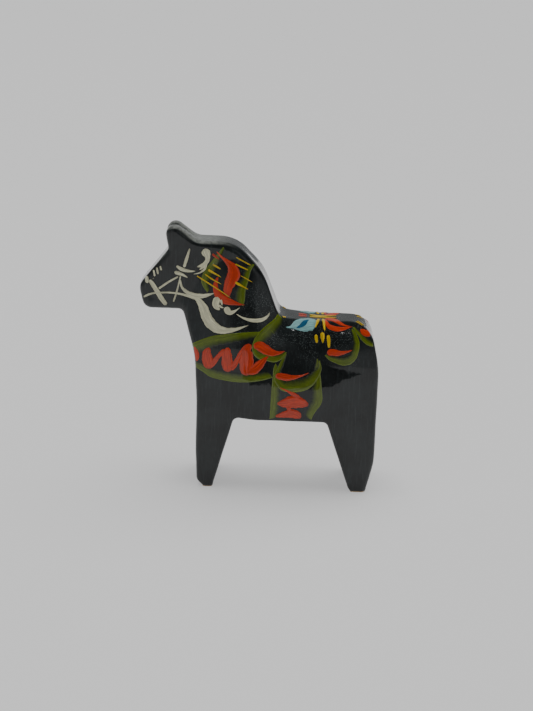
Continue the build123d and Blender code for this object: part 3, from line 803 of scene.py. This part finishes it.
def paint_figures(names):
    """Builds the left and right films of the named figures on the carved horse. Each stroke has
    a seed of its own, so that no two show the same hairs."""
    brush = bpy.context.scene.dala_brushwork
    ground = bpy.context.scene.dala_carving.enamel
    horse = bpy.data.objects["ground_coat"]
    for number, name in enumerate(names):
        flank, back, paint, layer = FIGURES[name]
        base = layer * brush.layer
        grids, sheets = [], []
        for strokes, tilt, away, seed in ((flank, 0.0, FLANK_AWAY, FLANK_SEED),
                                          (back, BACK_LEAN, BACK_AWAY, BACK_SEED)):
            made = [stroke_sheet(kind, points, brush.film, base, brush.step,
                                 seed + number + SEED_STEP * i)
                    for i, (kind, points) in enumerate(strokes)]
            if made:
                grids += laid_on(made, horse, tilt, away)
                sheets += made
        soft = paint == "green_paint"
        brushed = f"brushed_{paint}"
        material = bpy.data.materials.get(brushed) or paint_material(
            brushed, getattr(brush, paint), ground, soft)
        for side, mirrored in (("left", False), ("right", True)):
            mesh = film_mesh(f"{side}_{name}_film", grids, sheets, mirrored)
            outward(mesh)
            finish_piece(mesh, material, f"{side}_{name}")


# ---------------------------------------------------------------- operators

class DALA_OT_carve(bpy.types.Operator):
    """Carves the block: the bare wood that shows at the soles"""
    bl_idname = "dala.carve"
    bl_label = "Carve the wood"

    def execute(self, context):
        settings = context.scene.dala_carving
        wood = smooth_horse(settings.grain_size, settings.soften)
        coat = wood.copy()
        wood.name, coat.name = "carved_wood", "ground_coat"
        skin, normals = read(wood.vertices, "co"), read(wood.vertex_normals, "vector")
        skin += normals * knife_marks(skin, settings.facet_depth)[:, None]
        painted = skin + normals * COAT_THICKNESS
        painted[:, 2] = np.maximum(painted[:, 2], COAT_FOOT)
        skin[skin[:, 2] < SOLE_DEPTH, 2] = 0.0
        write(wood, skin)
        write(coat, painted)
        finish_piece(wood, pine_material(settings.wood), "wood_body")
        finish_piece(coat, enamel_material(settings.enamel), "base_coat")
        return {"FINISHED"}


class DALA_OT_halter(bpy.types.Operator):
    """Paints the halter, the dashes on the forehead and the scroll below the ear"""
    bl_idname = "dala.halter"
    bl_label = "Paint the head"

    def execute(self, context):
        paint_figures(["halter", "forehead_dashes", "ear_scroll"])
        return {"FINISHED"}


class DALA_OT_mane(bpy.types.Operator):
    """Paints the mane panel, its fringe and the rein"""
    bl_idname = "dala.mane"
    bl_label = "Paint the mane and rein"

    def execute(self, context):
        paint_figures(["mane_panel_green", "mane_red_leaves", "mane_yellow_dashes",
                       "rein_scroll", "mane_fringe"])
        return {"FINISHED"}


class DALA_OT_breast_band(bpy.types.Operator):
    """Paints the breast band with its red zigzag"""
    bl_idname = "dala.breast_band"
    bl_label = "Paint the breast band"

    def execute(self, context):
        paint_figures(["breast_band_green", "breast_band_red"])
        return {"FINISHED"}


class DALA_OT_saddle(bpy.types.Operator):
    """Paints the saddle's leaves, petals and stamens, and the figures on the rump"""
    bl_idname = "dala.saddle"
    bl_label = "Paint the saddle and rump"

    def execute(self, context):
        paint_figures(["saddle_leaves_green", "saddle_leaves_red", "saddle_blue_petal",
                       "saddle_blue_heart", "saddle_red_petals", "saddle_yellow_dashes",
                       "rump_leaf_green", "rump_red"])
        return {"FINISHED"}


class DALA_OT_girth(bpy.types.Operator):
    """Paints the girth below the saddle"""
    bl_idname = "dala.girth"
    bl_label = "Paint the girth"

    def execute(self, context):
        paint_figures(["girth_green", "girth_red"])
        return {"FINISHED"}


def lamp(name, kind, power, place, aim, **settings):
    """A lamp at a place, aimed at a point."""
    data = bpy.data.lights.new(name, kind)
    data.energy = power
    for key, value in settings.items():
        setattr(data, key, value)
    obj = link(name, data)
    obj.location = place
    obj.rotation_euler = (Vector(aim) - Vector(place)).to_track_quat("-Z", "Y").to_euler()
    return obj


def lay_flat(name, corners, height, colour, shine, glow):
    """A flat sheet of the stage, level at a height, with its own light where it glows."""
    mesh = bpy.data.meshes.new(name)
    mesh.from_pydata([(x, y, height) for x, y in corners], [], [tuple(range(len(corners)))])
    material, _, shader = start_material(name)
    shader.inputs["Base Color"].default_value = colour
    shader.inputs["Roughness"].default_value = 0.9
    shader.inputs["Specular IOR Level"].default_value = shine
    shader.inputs["Emission Color"].default_value = (1, 1, 1, 1)
    shader.inputs["Emission Strength"].default_value = glow
    mesh.materials.append(material)
    sheet = link(name, mesh)
    return sheet


def room_light(settings):
    """Light from around: a dim room, with the pale wall and the windows added to it."""
    world = bpy.data.worlds.new("room")
    world.use_nodes = True
    tree = world.node_tree
    sky = tree.nodes["Background"]
    way = put(tree, "ShaderNodeSeparateXYZ",
              Vector=put(tree, "ShaderNodeTexCoord").outputs["Generated"]).outputs
    wall = arithmetic(tree, "MULTIPLY", band(tree, way["Y"], *WALL_BEHIND, 0.0, settings.wall),
                      band(tree, way["Z"], *WALL_UP))
    aside = arithmetic(tree, "ABSOLUTE", way["X"], 0.0)
    low = band(tree, way["Z"], *WINDOW_UP, 0.0, settings.windows)
    sides = arithmetic(tree, "MULTIPLY", low, band(tree, aside, *WINDOW_ASIDE))
    front = arithmetic(tree, "MULTIPLY", sides, band(tree, way["Y"], *WINDOW_FRONT))
    glow = arithmetic(tree, "ADD", wall, front)
    tree.links.new(arithmetic(tree, "ADD", glow, settings.room), sky.inputs["Strength"])
    sky.inputs["Color"].default_value = ROOM_TINT
    return world


class DALA_OT_stage(bpy.types.Operator):
    """Sets the pale floor, the soft light and the camera"""
    bl_idname = "dala.stage"
    bl_label = "Set the stage"

    def execute(self, context):
        settings = context.scene.dala_stage
        low, high = -FLOOR_REACH, FLOOR_REACH
        lay_flat("floor", [(low, low), (high, low), (high, high), (low, high)], 0.0,
                 rgba(settings.floor), 0.1, settings.floor_glow)
        card = lay_flat("dark_card", DARK_CARD, CARD_HEIGHT, CARD_BLACK, 0.0, 0.0)
        card.visible_camera = card.visible_diffuse = card.visible_shadow = False
        context.scene.world = room_light(settings)

        middle = Vector((0, 0, (CAD_BOX[0][2] + CAD_BOX[1][2]) / 2))
        sun = lamp("daylight", "SUN", settings.daylight, SUN_PLACE, middle, angle=SUN_SPREAD)
        sun.visible_glossy = False
        for name, place, size, share in GLINTS:
            lamp(name, "AREA", settings.glints * share, place, middle, shape="DISK", size=size)

        camera = link("camera", bpy.data.cameras.new("camera"))
        camera.data.sensor_width = SENSOR_WIDTH
        camera.data.lens = settings.lens
        camera.data.clip_start = NEAREST_SEEN
        away = Vector((0, -math.cos(settings.elevation), math.sin(settings.elevation)))
        place = Vector(VIEW_AIM) + away * settings.distance
        look = (-away).to_track_quat("-Z", "Y").to_matrix().to_4x4()
        turn = Matrix.Rotation(settings.roll, 4, "Z")
        camera.matrix_world = Matrix.Translation(place) @ look @ turn
        context.scene.camera = camera
        return {"FINISHED"}


class DALA_PT_panel(bpy.types.Panel):
    """Lists the steps of making the horse"""
    bl_idname = "DALA_PT_panel"
    bl_label = "Dala horse"
    bl_space_type = "VIEW_3D"
    bl_region_type = "UI"
    bl_category = "Dala horse"

    def draw(self, context):
        layout = self.layout
        scene = context.scene
        for group in (scene.dala_carving, scene.dala_brushwork, scene.dala_stage):
            box = layout.box()
            for key in group.__annotations__:
                box.prop(group, key)
        for operator in OPERATORS:
            layout.operator(operator.bl_idname)


OPERATORS = (DALA_OT_carve, DALA_OT_halter, DALA_OT_mane, DALA_OT_breast_band, DALA_OT_saddle,
             DALA_OT_girth, DALA_OT_stage)
CLASSES = (DalaCarving, DalaBrushwork, DalaStage, *OPERATORS, DALA_PT_panel)


def register():
    """Adds the classes and the scene's settings."""
    for each in CLASSES:
        bpy.utils.register_class(each)
    bpy.types.Scene.dala_carving = bpy.props.PointerProperty(type=DalaCarving)
    bpy.types.Scene.dala_brushwork = bpy.props.PointerProperty(type=DalaBrushwork)
    bpy.types.Scene.dala_stage = bpy.props.PointerProperty(type=DalaStage)


def unregister():
    """Takes them away again."""
    del bpy.types.Scene.dala_stage
    del bpy.types.Scene.dala_brushwork
    del bpy.types.Scene.dala_carving
    for each in reversed(CLASSES):
        bpy.utils.unregister_class(each)


def main():
    """Makes the horse and its stage."""
    register()
    bpy.ops.dala.carve()
    bpy.ops.dala.halter()
    bpy.ops.dala.mane()
    bpy.ops.dala.breast_band()
    bpy.ops.dala.saddle()
    bpy.ops.dala.girth()
    bpy.ops.dala.stage()


if __name__ == "__main__":
    main()
